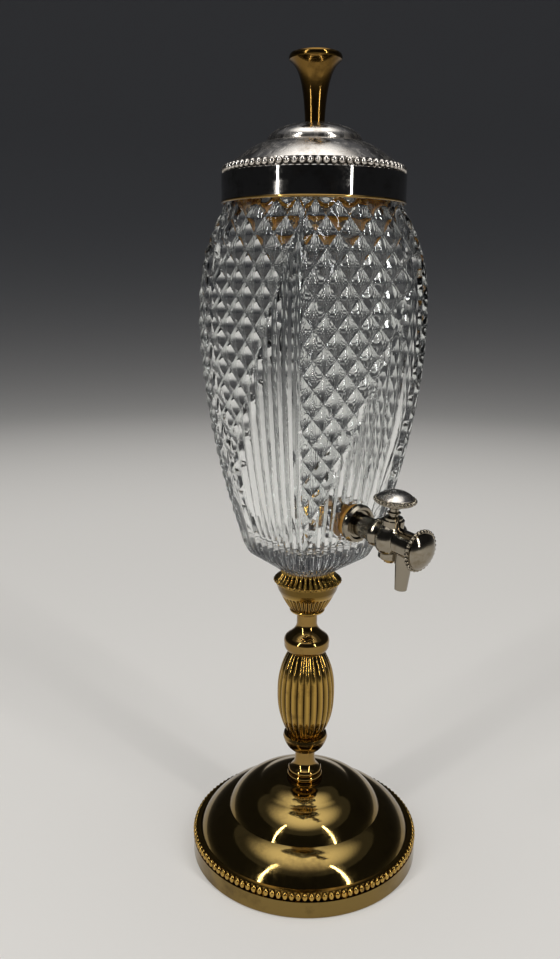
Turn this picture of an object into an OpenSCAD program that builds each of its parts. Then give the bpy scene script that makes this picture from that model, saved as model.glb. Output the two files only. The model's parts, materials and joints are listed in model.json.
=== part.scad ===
// Absinthe fountain: a pressed-glass reservoir on a turned brass pedestal, with a
// lift-off lid and a quarter-turn tap. Millimetres, Z up, origin under the middle
// of the foot. The tap points along -Y and the four glass faces look along X and Y.

/* [Base] */
// Outer radius of the foot ring
base_r = 59.5; // [50:0.5:70]
// Height of the foot ring
foot_h = 9; // [7:0.5:12]
// Wall of the foot ring
foot_wall = 2.2; // [1.6:0.1:3]
// Thickness of the foot ring's inner flange
flange_t = 1.6; // [1.2:0.1:2]
// Width of the foot ring's inner flange
flange_w = 7; // [5:0.5:9]
// Radius of the beads round the base
base_bead_r = 1.55; // [1:0.05:1.7]
// Height of the bead ring's band
base_band_h = 4.2; // [3.8:0.1:6]
// Sheet thickness of the spun base
sheet_t = 1.2; // [0.9:0.1:1.6]
// Straight rim under the lowest tier
rim_h = 4; // [3:0.5:6]
// Rise of the lowest tier
low_tier_h = 12; // [8:0.5:16]
// Rise of the middle tier
mid_tier_h = 12; // [8:0.5:16]
// Rise of the top tier
top_tier_h = 3.8; // [2:0.2:7]
// Radius of the groove between the low and middle tiers
low_groove_r = 40; // [36:0.5:44]
// Radius of the groove between the middle and top tiers
mid_groove_r = 24.5; // [20:0.5:28]
// How far each tier swells above its chord
tier_swell = 2.2; // [1:0.1:2.8]
// Thickness of the cast weight in the base
weight_t = 5; // [3:0.5:6]

/* [Stem] */
// Diameter of the tie rod
rod_d = 6; // [5:0.5:7]
// Height of the turned stem foot
stem_foot_h = 15.2; // [12:0.2:20]
// Radius of the stem foot's lowest ring
stem_foot_r = 9.4; // [8.6:0.1:11]
// Radius of both necks
neck_r = 5.2; // [4.6:0.1:6]
// Height of the cup under the barrel
stem_cup_h = 10; // [8:0.5:13]
// Rim radius of the cup under the barrel
stem_cup_r = 11.65; // [10.6:0.05:13]
// Visible length of the reeded barrel
barrel_h = 46.5; // [36:0.5:60]
// Largest radius of the reeded barrel
barrel_r = 14.85; // [13:0.05:18]
// Radius of the barrel's ends
barrel_end_r = 9; // [8:0.1:9.6]
// Number of reeds round the barrel
barrel_reeds = 24; // [16:1:28]
// Depth of the valleys between the reeds
barrel_reed_depth = 0.95; // [0.4:0.05:1.2]
// Height of the bell above the barrel
bell_h = 19.6; // [16:0.2:26]
// Largest radius of the bell
bell_r = 11.6; // [10.6:0.1:13]
// Height of the small ring under the bowl
bowl_ring_h = 2; // [1.4:0.1:3]
// Radius of the small ring under the bowl
bowl_ring_r = 8.7; // [7.6:0.1:10]
// Height of the reeded bowl
bowl_h = 12.2; // [10:0.2:16]
// Rim radius of the reeded bowl
bowl_r = 16; // [15:0.1:17]
// Number of reeds round the bowl and of pleats round the crown
bowl_reeds = 36; // [24:1:40]
// Depth of the bowl's reeds
bowl_reed_depth = 0.6; // [0.3:0.05:0.9]
// Height of the crown that holds the glass
crown_h = 10.2; // [8:0.2:13]
// Largest radius of the crown
crown_r = 17.4; // [17:0.1:19]
// Wall of the crown round the peg's socket, at its top
crown_wall = 1.6; // [1.3:0.1:2.4]
// Depth of the crown's pleats
crown_pleat_depth = 1.0; // [0.4:0.05:1.3]

/* [Glass] */
// Height of the glass from its underside shoulder to its rim
glass_h = 186.4; // [160:0.2:200]
// How far the belly's faces lie inside the collar's outer radius
belly_inset = 0.8; // [0.5:0.1:1.5]
// How much farther from the axis the belly's corners are than its faces
corner_swell = 12.8; // [10:0.1:14]
// Half width across the faces, where the pattern starts
bottom_half = 26.6; // [24:0.1:30]
// Distance from the axis to a corner, where the pattern starts
bottom_corner = 32.6; // [30:0.1:36]
// Height of the belly above the start of the pattern
belly_up = 111; // [95:1:120]
// How far the ribbed chamfer draws in below the pattern
chamfer_in = 3; // [2:0.1:4]
// Height of the ribbed chamfer
chamfer_h = 5; // [4:0.1:7]
// Height of the sloping underside
underside_h = 8; // [6:0.5:11]
// Wall of the round neck inside the collar
neck_wall = 4.2; // [3.6:0.1:5]
// How far the round neck reaches below the collar
neck_show = 1.3; // [1.2:0.1:2]
// Wall of the glass
glass_wall = 5; // [4:0.1:6]
// Radius of the moulded peg under the glass
peg_r = 10.6; // [9.6:0.1:10.8]
// Length of the moulded peg
peg_h = 7.4; // [6:0.1:8]
// Diamonds across one face
face_diamonds = 6; // [4:1:7]
// Rows of half diamonds up the pattern
diamond_rows = 26; // [22:2:28]
// Depth of the diamond cutting
diamond_depth = 1.5; // [0.6:0.1:1.8]
// Depth of the valleys between the ribs
rib_depth = 0.9; // [0.4:0.1:1.2]

/* [Collar and lid] */
// Outer radius of the collar band
collar_r = 42.3; // [38:0.1:46]
// Wall of the collar band and of its top flange
collar_wall = 0.9; // [0.7:0.1:1.1]
// Height of the collar band
collar_h = 11.7; // [9.5:0.1:14]
// Thickness of the cement between the neck and the collar
cement_t = 1.2; // [0.8:0.1:1.6]
// Radius of the rolled lip under the collar band
lip_r = 0.6; // [0.5:0.05:0.9]
// Thickness of the gasket on the glass rim
rim_gasket_t = 1.1; // [0.8:0.1:1.5]
// Radius of the beads round the lid
lid_bead_r = 1.6; // [1.2:0.05:1.8]
// Height of the band that carries the lid's beads
lid_ring_h = 3.7; // [3.5:0.1:4.5]
// Sheet thickness of the lid
lid_t = 1; // [0.8:0.1:1.4]
// How far the foot of the lid stands in from its bead band
lid_inset = 1.8; // [1.2:0.1:2.4]
// Rise of the lid's lower tier
lid_tier_h = 9.6; // [8:0.2:14]
// Radius of the small upper dome
lid_dome_r = 21.9; // [18:0.1:26]
// Step from the lower tier up to the small dome
lid_step_h = 0.8; // [0.5:0.1:1.5]
// Rise of the small upper dome
lid_dome_h = 8.4; // [6:0.2:11]
// Depth of the skirt that locates the lid in the mouth
skirt_h = 10; // [7:0.5:12]
// Clearance round the skirt
skirt_gap = 0.6; // [0.4:0.05:1]
// Height of the trumpet knob
knob_h = 29.4; // [22:0.2:36]
// Radius of the knob's stem
knob_stem_r = 4.5; // [3.8:0.1:5.4]
// Radius of the knob's rim
knob_rim_r = 12; // [10:0.1:14]
// Diameter of the screw that holds the knob
knob_screw_d = 4; // [3:0.5:5]

/* [Tap] */
// Rows of half diamonds from the start of the pattern up to the tap
tap_row = 3; // [3:1:4]
// How far the tap droops below level, in degrees
tap_droop = 5; // [0:0.5:7]
// How far the flat land that the tap seats on stands out of the glass's face
land_proud = 0.7; // [0.4:0.1:1.2]
// Thickness of the glass at the land
land_wall = 6; // [5:0.1:7]
// Radius of the tap's threaded shank
shank_r = 4.8; // [4.2:0.1:5.2]
// Length of the shank behind the outer gasket
shank_in = 15.5; // [14:0.5:18]
// Radius of the soft gaskets
gasket_r = 8.4; // [7.8:0.1:9]
// Thickness of the outer gasket
gasket_t = 2.5; // [1.5:0.1:3.5]
// Thickness of the inner gasket
inner_gasket_t = 1.5; // [1:0.1:2]
// Radius of the tap's flange
tap_flange_r = 9.2; // [8.6:0.1:10]
// Thickness of the tap's flange
tap_flange_t = 3; // [2.4:0.1:3.6]
// Length of the tap's neck, from its flange to the small bulge
tap_neck_len = 11.3; // [10.5:0.1:12.5]
// Radius of the small bulge
small_bulge_r = 6.9; // [6.2:0.1:7.6]
// Distance from the small bulge to the key's axis
key_pitch = 8.4; // [7.8:0.1:9.4]
// Radius of the large bulge round the key
big_bulge_r = 8.5; // [8:0.1:9.2]
// Distance from the key's axis to the spout's axis
spout_pitch = 8.8; // [8.2:0.1:9.8]
// Radius of the water passage
passage_r = 2; // [1.5:0.1:2.3]
// Radius of the turning plug
plug_r = 3.4; // [3.2:0.1:3.8]
// Distance from the tap's axis down to the spout's tip
spout_drop = 21.5; // [18:0.5:26]
// Radius of the spout at its root
spout_root_r = 3.8; // [3.4:0.1:4.2]
// Radius of the spout at its tip
spout_tip_r = 2.8; // [2.7:0.1:3.4]
// Radius of the two beaded discs
disc_r = 8.9; // [8:0.1:10]
// Depth of the cone behind each disc
disc_cone_h = 2.6; // [2:0.1:3.4]
// Rise of the domed face of each disc
disc_face_h = 3; // [2:0.1:4]
// Radius of the beads round the discs
disc_bead_r = 0.9; // [0.7:0.05:1.1]
// Height of the handle's stem above the tap body
key_stem_h = 5.4; // [4.5:0.1:8]
// Radius of the handle's stem
key_stem_r = 2.1; // [1.9:0.1:2.6]

/* [Fits] */
// Clearance round the tie rod
rod_gap = 0.15; // [0.1:0.05:0.3]
// Clearance between fixed pieces that nest
nest_gap = 0.05; // [0.02:0.01:0.1]
// Running clearance round the turning plug
plug_gap = 0.05; // [0.03:0.01:0.1]
// Clearance round the tap's shank in the glass
bore_gap = 0.3; // [0.2:0.05:0.5]
// Gap between neighbouring beads
bead_gap = 0.08; // [0.05:0.01:0.2]
// How far the middle of a bead stands off its band
bead_proud = 0.3; // [0.2:0.05:0.4]

/* [Hidden] */
$fn = 96;

brass = "#b08d4c";
old_brass = "#8c7440";
nickel = "#b9b2a6";
silver = "#c9c9cb";
steel = "#8a8d90";
amber = "#b9852f";

// Heights of the seats, from the table upwards
rod_r = rod_d / 2;
rod_bore_r = rod_r + rod_gap;
dome_top_z = foot_h + rim_h + low_tier_h + mid_tier_h + top_tier_h;
seat_depth = 1.2;
cup_z = dome_top_z + stem_foot_h;
barrel_z = cup_z + stem_cup_h;
bell_z = barrel_z + barrel_h;
bowl_ring_z = bell_z + bell_h;
bowl_z = bowl_ring_z + bowl_ring_h;
crown_z = bowl_z + bowl_h;
crown_top_z = crown_z + crown_h;

// The base
bead_ring_r = base_r - base_bead_r + 0.3;
dome_rim_r = bead_ring_r - 2.7;
flange_in_r = base_r - foot_wall - flange_w;
weight_r = flange_in_r + 3;
weight_top_z = foot_h - flange_t;
weight_z = weight_top_z - weight_t;
washer_t = 0.2 * rod_d;
washer_r = 1.33 * rod_d;
nut_h = 0.55 * rod_d;
nut_r = rod_d;
nut_recess_h = 2 * washer_t;

// The bowl, its floor and the socket for the peg
bowl_floor_t = 3;
nut_room_r = washer_r + 0.5;
socket_gap = 1.2;
socket_r = peg_r + socket_gap;
crown_top_r = socket_r + crown_wall;

// The glass, from its underside shoulder upwards
shoulder_gap = 0.3;
glass_z = crown_top_z + shoulder_gap;
peg_z = glass_z - peg_h;
pattern_z = glass_z + underside_h + chamfer_h;
rim_z = glass_z + glass_h;
collar_top_z = rim_z + rim_gasket_t + collar_wall;
collar_z = collar_top_z - collar_h;
collar_in_r = collar_r - collar_wall;
neck_glass_r = collar_in_r - cement_t;
mouth_r = neck_glass_r - neck_wall;
neck_z = collar_z - neck_show;
belly_half = collar_r - belly_inset;
belly_corner = belly_half + corner_swell;
row_h = (neck_z - pattern_z) / diamond_rows;
belly_z = pattern_z + belly_up;
floor_z = pattern_z + 1.6;
neck_corner = neck_glass_r + 0.6;
below_belly = 1.85;
above_belly = 2.5;

// The tap
tap_z = pattern_z + tap_row * row_h;
land_r = half_at(tap_z) + land_proud;
flange_s = gasket_t;
body_s = flange_s + tap_flange_t;
small_bulge_at = body_s + tap_neck_len;
key_at = small_bulge_at + key_pitch;
spout_at = key_at + spout_pitch;
land_in_s = -land_wall;
bore_r = shank_r + bore_gap;
bore_seam = 17;
key_barrel_r = plug_r + 1.8;
flat_h = big_bulge_r + 0.4;
lock_nut_t = 4;
disc_s = spout_at + spout_root_r + 1;
neck_tap_r = 6;
boss_h = big_bulge_r + 0.6;
boss_root = passage_r + 1;
outlet_r = passage_r - 0.15;
plug_end = -flat_h - plug_gap;
plug_washer_t = 0.8;
plug_head_t = 1.5;
plug_screw_r = 1;
plug_thread_h = 2.6;

// The lid
skirt_r = mouth_r - skirt_gap;
skirt_wall = 1;
lid_ring_in_r = skirt_r - skirt_wall;
lid_ring_r = collar_r - lid_bead_r - 0.1;
lid_r = lid_ring_r - lid_inset;
lid_z = collar_top_z + lid_ring_h;
lid_top_z = lid_z + lid_tier_h + lid_step_h + lid_dome_h;
stud_r = knob_screw_d / 2;
knob_thread_h = 0.29 * knob_h;

// Points along a circular arc that swells by sag to the left of the way from p to q
function swell_arc(p, q, sag, n = 12) =
    let (chord = norm(q - p), mid = (p + q) / 2, along = (q - p) / chord, left = [-along[1], along[0]])
    let (r = (chord * chord / 4 + sag * sag) / (2 * sag), centre = mid + left * (sag - r))
    let (half = asin(chord / 2 / r))
    [for (i = [0:n])
        let (t = half * (2 * i / n - 1))
        centre + left * r * cos(t) + along * r * sin(t)];

// Points along a cubic curve from p to q, steered by a and b
function bend(p, a, b, q, n = 12) =
    [for (i = [0:n])
        let (t = i / n, u = 1 - t)
        p * u * u * u + a * 3 * u * u * t + b * 3 * u * t * t + q * t * t * t];

function backwards(points) = [for (i = [len(points) - 1:-1:0]) points[i]];

// A turned piece: a closed outline spun about the axis
module turned(points) {
    rotate_extrude() polygon(points);
}

module ring(outer, inner, z, h) {
    translate([0, 0, z]) difference() {
        cylinder(r = outer, h = h);
        translate([0, 0, -1]) cylinder(r = inner, h = h + 2);
    }
}

// A band with a row of beads round it: as many beads as fit
module beaded_band(r, inner, z, h, bead) {
    count = floor(180 / asin((bead + bead_gap / 2) / r));
    ring(r - bead_proud, inner, z, h);
    for (i = [0:count - 1]) rotate(360 * (i + 0.5) / count) translate([r, 0, z + h / 2])
        rotate([0, 90, 0]) sphere(r = bead, $fn = 24);
}

// A stack of rings of points, closed by flat ends
module stacked(rings) {
    n = len(rings[0]);
    last = len(rings) - 1;
    sides = [for (j = [0:last - 1]) for (i = [0:n - 1])
        let (k = (i + 1) % n)
        each [[j * n + i, (j + 1) * n + k, j * n + k], [j * n + i, (j + 1) * n + i, (j + 1) * n + k]]];
    bottom = [for (i = [0:n - 1]) i];
    top = [for (i = [n - 1:-1:0]) last * n + i];
    polyhedron([for (r = rings) each r], concat(sides, [bottom, top]), convexity = 6);
}

// A reeded turning: profile rows are [radius, height, share of the full valley depth]
module reeded(profile, reeds, depth, samples) {
    n = reeds * samples;
    stacked([for (p = profile) [for (k = [0:n - 1])
        let (valley = 1 - sin(180 * (k % samples) / samples), r = p[0] - depth * p[2] * valley)
        [r * cos(360 * k / n), r * sin(360 * k / n), p[1]]]]);
}

module hex_nut(r, h) {
    cylinder(r = r, h = h, $fn = 6);
}

module foot_ring() {
    edge = 0.5;
    color(old_brass) turned([
        [base_r - foot_wall, 0], [base_r - edge, 0], [base_r, edge], [base_r, foot_h],
        [flange_in_r, foot_h], [flange_in_r, foot_h - flange_t], [base_r - foot_wall, foot_h - flange_t]]);
}

module base_bead_ring() {
    color(brass) beaded_band(bead_ring_r, dome_rim_r + nest_gap, foot_h, base_band_h, base_bead_r);
}

module base_dome() {
    rim = [dome_rim_r, foot_h + rim_h];
    low = rim + [low_groove_r - dome_rim_r, low_tier_h];
    mid = low + [mid_groove_r - low_groove_r, mid_tier_h];
    top = mid + [stem_foot_r + 0.4 - mid_groove_r, top_tier_h];
    skin = concat(
        swell_arc(top, mid, 0.6 * tier_swell),
        swell_arc(mid, low, tier_swell),
        swell_arc(low, rim, tier_swell),
        [[dome_rim_r, foot_h]]);
    // Moved in and down by the same amount, the inside keeps the sheet's thickness on the slopes
    step = 0.85 * sheet_t;
    inside = [for (p = skin) [p[0] - step, max(p[1] - step, foot_h)]];
    color(old_brass) turned(concat(
        [[rod_bore_r, dome_top_z]], skin, backwards(inside), [[rod_bore_r, dome_top_z - step]]));
}

module base_weight() {
    hub_r = 2 * rod_d;
    hub_h = 6;
    color("#4a4a4c") difference() {
        union() {
            translate([0, 0, weight_z]) cylinder(r = weight_r, h = weight_t);
            translate([0, 0, weight_top_z - 1]) cylinder(r = hub_r, h = hub_h + 1);
        }
        translate([0, 0, weight_z - 1]) cylinder(r = rod_bore_r, h = weight_t + hub_h + 2);
        translate([0, 0, weight_z - 1]) cylinder(r = washer_r + 0.6, h = nut_recess_h + 1);
    }
}

rod_bottom_z = weight_z + nut_recess_h - washer_t - nut_h;
bowl_floor_z = bowl_z + bowl_floor_t;
rod_top_z = bowl_floor_z + washer_t + nut_h;

module tie_rod() {
    color(steel) translate([0, 0, rod_bottom_z]) cylinder(r = rod_r, h = rod_top_z - rod_bottom_z);
}

module rod_washers() {
    color(steel) {
        ring(washer_r, rod_bore_r, weight_z + nut_recess_h - washer_t, washer_t);
        ring(washer_r, rod_bore_r, bowl_floor_z, washer_t);
    }
}

module rod_nuts() {
    color(steel) for (z = [rod_bottom_z, bowl_floor_z + washer_t]) translate([0, 0, z]) difference() {
        hex_nut(nut_r, nut_h);
        translate([0, 0, -1]) cylinder(r = rod_r + nest_gap, h = nut_h + 2);
    }
}

module stem_foot() {
    ring_h = 2.7;
    upper_r = stem_foot_r - 0.8;
    z0 = dome_top_z;
    color(brass) turned(concat(
        [[rod_bore_r, z0]],
        swell_arc([stem_foot_r - 0.5, z0], [stem_foot_r - 0.5, z0 + ring_h], -0.5, 6),
        swell_arc([upper_r - 0.3, z0 + ring_h], [upper_r - 0.3, z0 + 2 * ring_h], -0.5, 6),
        bend([upper_r - 0.9, z0 + 2 * ring_h], [neck_r + 0.6, z0 + 2.6 * ring_h],
            [neck_r, z0 + 3 * ring_h], [neck_r, z0 + stem_foot_h - 2.5]),
        [[neck_r, cup_z], [rod_bore_r, cup_z]]));
}

module stem_cup() {
    seat_r = barrel_end_r + nest_gap;
    color(brass) turned(concat(
        [[rod_bore_r, cup_z]],
        bend([neck_r, cup_z], [stem_cup_r - 3, cup_z + 0.6], [stem_cup_r - 0.4, cup_z + 0.5 * stem_cup_h],
            [stem_cup_r, cup_z + stem_cup_h - 1.8]),
        [[stem_cup_r - 0.5, barrel_z - 0.3], [stem_cup_r - 1.2, barrel_z], [seat_r, barrel_z],
         [seat_r, barrel_z - seat_depth], [rod_bore_r, barrel_z - seat_depth]]));
}

module stem_barrel() {
    rows = 12;
    z0 = barrel_z - seat_depth;
    z1 = bell_z + seat_depth;
    swell = 2.4;
    end_share = 0.5;
    profile = concat(
        [[barrel_end_r, z0, end_share]],
        [for (i = [0:rows])
            let (u = 2 * i / rows - 1)
            [barrel_r - (barrel_r - barrel_end_r) * pow(abs(u), swell), barrel_z + barrel_h * i / rows,
             1 - end_share * u * u]],
        [[barrel_end_r, z1, end_share]]);
    color("#c39b4a") difference() {
        reeded(profile, barrel_reeds, barrel_reed_depth, 4);
        translate([0, 0, z0 - 1]) cylinder(r = rod_bore_r, h = z1 - z0 + 2);
    }
}

module stem_bell() {
    seat_r = barrel_end_r + nest_gap;
    band_z = bell_z + 0.225 * bell_h;
    shoulder_z = band_z + 0.22 * bell_h;
    waist_z = band_z + 0.56 * bell_h;
    color(brass) turned(concat(
        [[rod_bore_r, bell_z + seat_depth], [seat_r, bell_z + seat_depth], [seat_r, bell_z]],
        swell_arc([seat_r + 0.6, bell_z], [bell_r, band_z], -0.7, 6),
        swell_arc([bell_r, band_z], [bell_r - 1.8, shoulder_z], -0.8, 8),
        bend([bell_r - 2, shoulder_z + 0.01 * bell_h], [neck_r + 1, band_z + 0.36 * bell_h],
            [neck_r, band_z + 0.46 * bell_h], [neck_r, waist_z]),
        [[neck_r, bowl_ring_z - 1.6], [neck_r + 1.6, bowl_ring_z - 0.8], [neck_r + 1.6, bowl_ring_z],
         [rod_bore_r, bowl_ring_z]]));
}

module bowl_ring() {
    color(brass) turned(concat(
        [[rod_bore_r, bowl_ring_z]],
        swell_arc([bowl_ring_r - 0.4, bowl_ring_z], [bowl_ring_r - 0.4, bowl_z], -0.4, 6),
        [[rod_bore_r, bowl_z]]));
}

module fluted_bowl() {
    rows = 8;
    foot_r = bowl_ring_r + 0.8;
    profile = [for (i = [0:rows])
        let (t = i / rows)
        [foot_r + (bowl_r - foot_r) * sqrt(t), bowl_z + bowl_h * t, t < 0.6 ? 1 : 0]];
    color(brass) difference() {
        reeded(profile, bowl_reeds, bowl_reed_depth, 3);
        translate([0, 0, bowl_z - 1]) cylinder(r = rod_bore_r, h = bowl_floor_t + 2);
        translate([0, 0, bowl_floor_z]) cylinder(r = nut_room_r, h = bowl_h);
    }
}

module glass_crown() {
    flare = crown_r - crown_top_r;
    profile = [
        [bowl_r + 0.2, crown_z, 0.5], [crown_r - 0.05 * flare, crown_z + 0.11 * crown_h, 0.9],
        [crown_r, crown_z + 0.22 * crown_h, 1], [crown_r - 0.12 * flare, crown_z + 0.36 * crown_h, 1],
        [crown_r - 0.32 * flare, crown_z + 0.5 * crown_h, 0.9],
        [crown_r - 0.75 * flare, crown_z + 0.78 * crown_h, 0.7],
        [crown_top_r, crown_top_z, 0.4]];
    color(brass) difference() {
        reeded(profile, bowl_reeds, crown_pleat_depth, 3);
        translate([0, 0, crown_z - 1]) cylinder(r = socket_r, h = crown_h + 2);
    }
}

module peg_cement() {
    color(amber) ring(socket_r - nest_gap, peg_r + nest_gap, peg_z, crown_top_z - peg_z);
}

// Half width or corner distance of the glass at a height
function belly(z, low, wide, high) =
    z < belly_z
        ? wide - (wide - low) * pow((belly_z - z) / (belly_z - pattern_z), below_belly)
        : wide - (wide - high) * pow((z - belly_z) / (neck_z - belly_z), above_belly);
function half_at(z) = belly(z, bottom_half, belly_half, neck_glass_r);
function corner_at(z) = belly(z, bottom_corner, belly_corner, neck_corner);

// Radius of a rounded square at an angle from a face's middle
function square_r(half, corner, turn) =
    let (n = 1 / (0.5 - ln(corner / half) / ln(2)))
    half * pow(pow(abs(cos(turn)), n) + pow(abs(sin(turn)), n), -1 / n);

// The glass is a grid of points: steps across one face, evenly spaced on the flat
half_cols = 2 * face_diamonds;
steps = 2 * half_cols;
function turn_at(i, n) = atan(2 * (i % n) / n - 1);
function face_at(i, n) = 90 * floor(i / n) - 90;

// True where the cell holds a cut diamond: above the diagonal that climbs to the right
function is_diamond(c, j) =
    let (i = (c + 4 * half_cols) % half_cols)
    j >= 0 && j < diamond_rows && (j + 0.5) / diamond_rows > (i + 0.5) / half_cols;

// Depth of the cutting at a grid point; odd steps lie on a rib's crest
function cut_at(k, j) =
    let (c = floor(k / 2), fade = j >= diamond_rows ? 0 : 1)
    k % 2 == 0
        ? (is_diamond(c, j) || is_diamond(c - 1, j) || is_diamond(c, j - 1) || is_diamond(c - 1, j - 1)
            ? ((c + j) % 2 == 0 ? 0 : diamond_depth) : rib_depth) * fade
        : (is_diamond(c, j) || is_diamond(c, j - 1) ? diamond_depth / 2 : 0) * fade;

// The tap's land is flat and square to the tap: points near it are set on its plane
land_half = 2.1 * row_h;
function on_land(p, r, reach) =
    p[1] < 0 && abs(p[0]) < reach && abs(p[2] - tap_z) < land_half
        ? [p[0], -(r + (p[2] - tap_z) * tan(tap_droop)), p[2]] : p;

function outer_ring(j) =
    let (z = pattern_z + j * row_h, half = half_at(z), corner = corner_at(z))
    [for (k = [0:4 * steps - 1])
        let (turn = turn_at(k, steps), a = turn + face_at(k, steps))
        let (r = square_r(half, corner, turn) - cut_at(k, j))
        on_land([r * cos(a), r * sin(a), z], land_r, gasket_r + 2.6)];

function chamfer_ring() =
    [for (k = [0:4 * steps - 1])
        let (turn = turn_at(k, steps), a = turn + face_at(k, steps))
        let (r = square_r(bottom_half - chamfer_in, bottom_corner - chamfer_in, turn)
            - (k % 2 == 0 ? rib_depth : 0))
        [r * cos(a), r * sin(a), pattern_z - chamfer_h]];

function round_ring(r, z, n) =
    [for (k = [0:4 * n - 1])
        let (a = turn_at(k, n) + face_at(k, n))
        [r * cos(a), r * sin(a), z]];

// The hollow: the same rounded square, drawn in by the wall
hollow_steps = face_diamonds;
hollow_row = gasket_r - 0.4;
function hollow_ring(z, draw) =
    let (half = half_at(z) - glass_wall, corner = corner_at(z) - 1.3 * glass_wall)
    [for (k = [0:4 * hollow_steps - 1])
        let (turn = turn_at(k, hollow_steps), a = turn + face_at(k, hollow_steps))
        let (r = square_r(half, max(corner, half * 1.02), turn) - draw)
        on_land([r * cos(a), r * sin(a), z], land_r - land_wall / cos(tap_droop), gasket_r + 2)];

module glass_body() {
    n = 4 * steps;
    m = 4 * hollow_steps;
    ratio = steps / hollow_steps;
    shell = concat(
        [round_ring(peg_r, peg_z, steps), round_ring(peg_r, glass_z, steps),
         round_ring(crown_top_r - 0.3, glass_z, steps), chamfer_ring()],
        [for (j = [0:diamond_rows]) outer_ring(j)],
        [round_ring(neck_glass_r, neck_z + 2, steps), round_ring(neck_glass_r, rim_z, steps)]);
    hollow_top = tap_z + hollow_row * floor((neck_z - hollow_row - tap_z) / hollow_row);
    hollow = concat(
        [round_ring(mouth_r, rim_z, hollow_steps), round_ring(mouth_r, neck_z, hollow_steps)],
        [for (z = [hollow_top:-hollow_row:tap_z - hollow_row]) hollow_ring(z, 0)],
        [hollow_ring(floor_z + 2, 1), hollow_ring(floor_z, 4)]);
    rows = len(shell) - 1;
    first = 4;
    base = len(shell) * n;
    depth = len(hollow) - 1;
    walls = [for (j = [0:rows - 1]) for (c = [0:n / 2 - 1])
        let (a = j * n + 2 * c, b = a + 1, d = j * n + (2 * c + 2) % n, up = n)
        each is_diamond(c, j - first) && (c + j - first) % 2 == 0
            ? [[a, a + up, b], [b, a + up, d], [d, a + up, b + up], [d, b + up, d + up]]
            : is_diamond(c, j - first)
            ? [[a, d + up, b], [b, d + up, d], [a, b + up, d + up], [a, a + up, b + up]]
            : [[a, b + up, b], [a, a + up, b + up], [b, d + up, d], [b, b + up, d + up]]];
    rim = [for (i = [0:m - 1])
        let (o = rows * n + i * ratio, half = ratio / 2, p = base + i, q = base + (i + 1) % m)
        each concat(
            [for (s = [0:half - 1]) [o + s, p, o + s + 1]],
            [[o + half, p, q]],
            [for (s = [half:ratio - 1]) [o + s, q, rows * n + (i * ratio + s + 1) % n]])];
    inside = [for (j = [0:depth - 1]) for (i = [0:m - 1])
        let (a = base + j * m + i, b = base + j * m + (i + 1) % m)
        each [[a, b + m, b], [a, a + m, b + m]]];
    under = [for (i = [0:n - 1]) i];
    floor_face = [for (i = [m - 1:-1:0]) base + depth * m + i];
    polyhedron(
        [for (r = concat(shell, hollow)) each r],
        concat(walls, rim, inside, [under, floor_face]), convexity = 10);
}

// Places a piece on the tap's axis: its Z runs outwards from the land, its Y runs up
module on_tap() {
    translate([0, -land_r, tap_z]) rotate([90 + tap_droop, 0, 0]) children();
}

// Places a piece on the key's axis: its Z runs up
module on_key() {
    on_tap() translate([0, 0, key_at]) rotate([-90, 0, 0]) children();
}

module glass_reservoir() {
    color("#dfe7ea", 0.5) difference() {
        glass_body();
        on_tap() rotate(bore_seam) translate([0, 0, -2 * land_wall]) cylinder(r = bore_r, h = 3 * land_wall);
    }
}

module collar_band() {
    flange_in = mouth_r + 1.2;
    color(silver) turned([
        [collar_in_r, collar_z], [collar_r, collar_z], [collar_r, collar_top_z - 0.3],
        [collar_r - 0.3, collar_top_z], [flange_in, collar_top_z],
        [flange_in, collar_top_z - collar_wall], [collar_in_r, collar_top_z - collar_wall]]);
}

module collar_lip() {
    lip_z = collar_z - 2 * lip_r;
    color(brass) turned(concat(
        [[collar_in_r, lip_z]],
        swell_arc([collar_r - 0.2, lip_z], [collar_r - 0.2, collar_z], -0.9 * lip_r, 6),
        [[collar_in_r, collar_z]]));
}

module collar_cement() {
    color(amber) ring(collar_in_r - nest_gap, neck_glass_r + nest_gap, neck_z + 2.2, rim_z - neck_z - 2.2);
}

module rim_gasket() {
    color("#c9c2b0") ring(neck_glass_r, mouth_r + 1.2, rim_z, rim_gasket_t);
}

module lid_skirt() {
    color(brass) ring(skirt_r, skirt_r - skirt_wall, collar_top_z - skirt_h, skirt_h);
}

module lid_bead_ring() {
    color(silver) beaded_band(lid_ring_r, lid_ring_in_r, collar_top_z, lid_ring_h, lid_bead_r);
}

module lid_dome() {
    foot = [lid_r, lid_z];
    step = [lid_dome_r + 0.7, lid_z + lid_tier_h];
    edge = [lid_dome_r, lid_z + lid_tier_h + lid_step_h];
    top = [stud_r + nest_gap, lid_top_z];
    skin = concat(swell_arc(foot, step, -1.2), swell_arc(edge, top, -1.7));
    inside = [for (p = skin) [max(p[0] - 0.8 * lid_t, stud_r + nest_gap), max(p[1] - 0.8 * lid_t, lid_z)]];
    color(silver) turned(concat(skin, backwards(inside)));
}

module lid_knob() {
    z0 = lid_top_z;
    rim_z0 = z0 + knob_h - 3.6;
    color("#9c7a34") difference() {
        turned(concat(
            [[0, z0], [knob_stem_r, z0]],
            bend([knob_stem_r, z0 + 0.4], [knob_stem_r + 0.7, z0 + 0.55 * knob_h],
                [knob_rim_r - 4.5, z0 + 0.78 * knob_h], [knob_rim_r - 0.7, rim_z0], 16),
            swell_arc([knob_rim_r - 0.2, rim_z0 + 0.3], [knob_rim_r - 0.6, rim_z0 + 2.8], -0.4, 5),
            swell_arc([knob_rim_r - 1, z0 + knob_h - 0.6], [0, z0 + knob_h], -0.2, 5)));
        translate([0, 0, z0 - 1]) cylinder(r = stud_r + nest_gap, h = knob_thread_h + 1.5);
    }
}

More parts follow.
